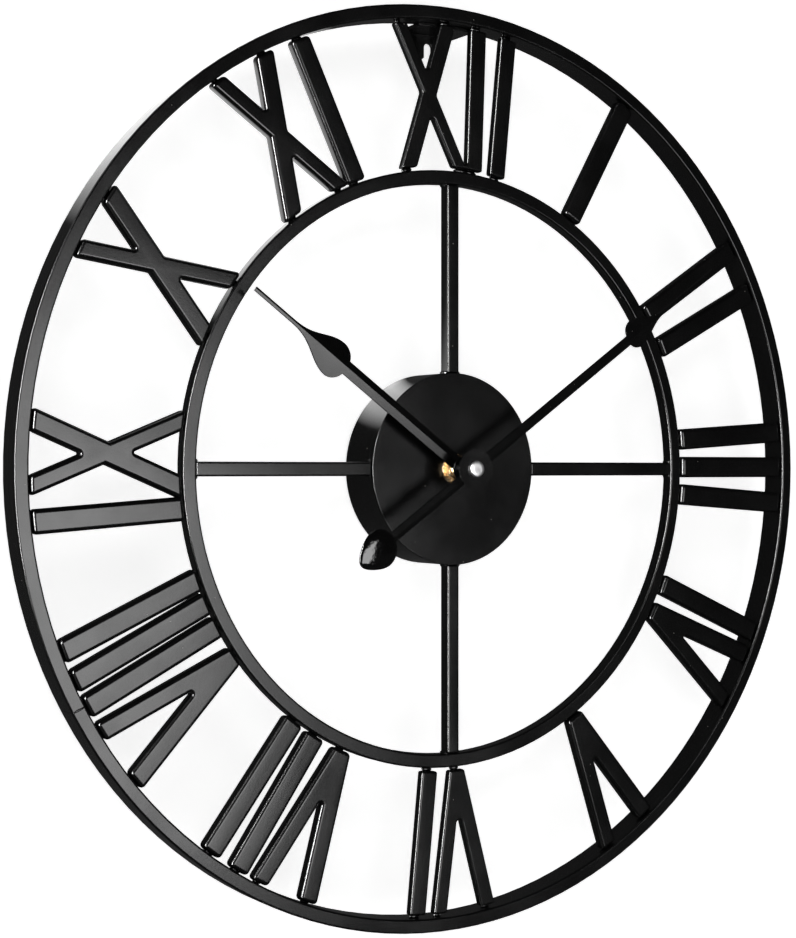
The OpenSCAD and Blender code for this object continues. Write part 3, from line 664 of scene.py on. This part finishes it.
cell_low, cell_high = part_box("battery")
cell_r = (cell_high.z - cell_low.z) / 2
cell_l = cell_high.x - cell_low.x
cell_mid = Vector((cell_low.x, (cell_low.y + cell_high.y) / 2, (cell_low.z + cell_high.z) / 2))
nub = 0.0011
body_l = cell_l - nub
bm = bmesh.new()
lathe(bm, [(0.0, cell_r - 0.0016), (0.0001, cell_r - 0.0008), (0.0005, cell_r - 0.0002),
           (0.0011, cell_r), (body_l - 0.0011, cell_r), (body_l - 0.0005, cell_r - 0.0002),
           (body_l - 0.0001, cell_r - 0.0008), (body_l - 0.0003, cell_r - 0.0014)], cell_mid)
cell = mesh_object("cell_sleeve", bm, "battery", "cell")
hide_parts("battery")
bm = bmesh.new()
lathe(bm, [(0.0002, 0.0001), (0.0002, cell_r - 0.0018), (body_l - 0.0004, cell_r - 0.0016),
           (body_l - 0.0002, 0.0034), (body_l, 0.0029), (body_l + nub - 0.0003, 0.00275),
           (body_l + nub, 0.0024)], cell_mid)
mesh_object("cell_can", bm, "battery", "nickel", 30)
print("cell", round(cell_l * 1000, 1), "mm long")

# %% [markdown]
# ## Room
# The clock hangs on a white wall above a pale floor. Both are one-sided: from behind they
# are clear, so the clock's back can be looked at too. The wall glows, which keeps the
# shadows on it faint. Glossy paint would mirror all of that white and turn grey, so glossy
# rays see something else: a dim surface with one bright patch at the upper left. It is a
# studio trick, and no real wall does it.

# %% Wall and floor
def one_sided(name, colour, glow):
    """A pale surface, clear from its back, that glossy paint sees bright only at upper left."""
    material = bpy.data.materials.new(name)
    material.use_nodes = True
    tree = material.node_tree
    shader = tree.nodes["Principled BSDF"]
    shader.inputs["Base Color"].default_value = (*colour, 1)
    shader.inputs["Roughness"].default_value = 0.9
    shader.inputs["Specular IOR Level"].default_value = 0.1
    shader.inputs["Emission Color"].default_value = (1, 1, 1, 1)
    shader.inputs["Emission Strength"].default_value = glow
    where = add(tree, "ShaderNodeTexCoord", (-1100, -300))
    way = add(tree, "ShaderNodeVectorMath", (-900, -300), operation="NORMALIZE")
    wire(tree, where.outputs["Object"], way.inputs[0])
    lean = add(tree, "ShaderNodeVectorMath", (-700, -300), operation="DOT_PRODUCT")
    lean.inputs[1].default_value = (-0.602, 0.0, 0.799)
    wire(tree, way.outputs[0], lean.inputs[0])
    level = add(tree, "ShaderNodeMapRange", (-500, -300))
    level.inputs["From Min"].default_value = 0.92
    level.inputs["From Max"].default_value = 0.985
    level.inputs["To Min"].default_value = 0.05
    level.inputs["To Max"].default_value = 2.4
    wire(tree, lean.outputs["Value"], level.inputs["Value"])
    seen = add(tree, "ShaderNodeEmission", (-200, -300))
    wire(tree, level.outputs[0], seen.inputs["Strength"])
    path = add(tree, "ShaderNodeLightPath", (-300, 500))
    room = add(tree, "ShaderNodeMixShader", (150, 0))
    wire(tree, path.outputs["Is Glossy Ray"], room.inputs[0])
    wire(tree, shader.outputs[0], room.inputs[1])
    wire(tree, seen.outputs[0], room.inputs[2])
    side = add(tree, "ShaderNodeNewGeometry", (-300, 300))
    clear = add(tree, "ShaderNodeBsdfTransparent", (0, 300))
    mix = add(tree, "ShaderNodeMixShader", (300, 200))
    wire(tree, side.outputs["Backfacing"], mix.inputs[0])
    wire(tree, room.outputs[0], mix.inputs[1])
    wire(tree, clear.outputs[0], mix.inputs[2])
    wire(tree, mix.outputs[0], tree.nodes["Material Output"].inputs["Surface"])
    return material


def plane(name, corners, material):
    """One flat piece of the room, left out of the clock itself."""
    mesh = bpy.data.meshes.new(name)
    mesh.from_pydata(corners, [], [(0, 1, 2, 3)])
    obj = bpy.data.objects.new(name, mesh)
    mesh.materials.append(material)
    bpy.context.scene.collection.objects.link(obj)


WALL_Y, FLOOR_Z, ROOM = 0.0012, -0.75, 6.0
plane("wall", [(-ROOM, WALL_Y, -ROOM), (ROOM, WALL_Y, -ROOM), (ROOM, WALL_Y, ROOM),
               (-ROOM, WALL_Y, ROOM)], one_sided("wall_white", (0.86, 0.86, 0.86), 0.8))
plane("floor", [(-ROOM, -ROOM, FLOOR_Z), (ROOM, -ROOM, FLOOR_Z), (ROOM, ROOM, FLOOR_Z),
                (-ROOM, ROOM, FLOOR_Z)], one_sided("floor_pale", (0.8, 0.8, 0.79), 0.1))
print("wall and floor", 2 * ROOM, "m across")

# %% [markdown]
# ## Light
# Black paint shows what it reflects, so the lamps are soft boxes placed where their
# reflections are wanted. A tall box at the left draws the bright line down the left of
# every bar. A pale card low and to the right of the viewer greys the numerals on the left.
# Both are seen only as reflections. Two more boxes only give light, and faint shadows.

# %% Soft boxes
def softbox(name, place, aim, size, radiance, gloss):
    """An area lamp turned towards a point, seen only as a reflection or only as light."""
    lamp = bpy.data.lights.new(name, "AREA")
    lamp.shape = "RECTANGLE"
    lamp.size, lamp.size_y = size
    lamp.energy = radiance * math.pi * size[0] * size[1]
    obj = bpy.data.objects.new(name, lamp)
    obj.location = place
    ray = Vector(aim) - Vector(place)
    obj.rotation_euler = ray.to_track_quat("-Z", "Y").to_euler()
    obj.visible_camera = False
    obj.visible_glossy = gloss
    obj.visible_diffuse = not gloss
    bpy.context.scene.collection.objects.link(obj)


softbox("strip_left", (-2.3, -1.5, 0.0), (0, 0, 0), (0.35, 3.2), 100.0, gloss=True)
softbox("card_right", (0.42, -2.35, -0.66), (0, 0, -0.1), (1.27, 1.9), 6.2, gloss=True)
softbox("fill_high", (0.7, -1.6, 1.9), (0, 0, 0), (0.9, 0.7), 3.0, gloss=False)
softbox("fill_left", (-1.2, -1.5, 1.2), (0, 0, 0), (0.8, 0.8), 2.5, gloss=False)

# %% [markdown]
# ## World
# The camera sees a pale backdrop past the wall's edge. Every other ray sees an almost dark
# room, so the black paint stays black where no soft box is mirrored.

# %% World
world = bpy.data.worlds.new("studio")
bpy.context.scene.world = world
world.use_nodes = True
tree = world.node_tree
tree.nodes.clear()
seen = add(tree, "ShaderNodeLightPath", (-600, 200))
pale = add(tree, "ShaderNodeBackground", (-300, 100), Strength=1.0)
pale.inputs["Color"].default_value = (0.93, 0.93, 0.93, 1)
room = add(tree, "ShaderNodeBackground", (-300, -100), Strength=0.035)
both = add(tree, "ShaderNodeMixShader", (0, 0))
out = add(tree, "ShaderNodeOutputWorld", (300, 0))
wire(tree, seen.outputs["Is Camera Ray"], both.inputs[0])
wire(tree, room.outputs[0], both.inputs[1])
wire(tree, pale.outputs[0], both.inputs[2])
wire(tree, both.outputs[0], out.inputs["Surface"])
print("world nodes", len(tree.nodes))
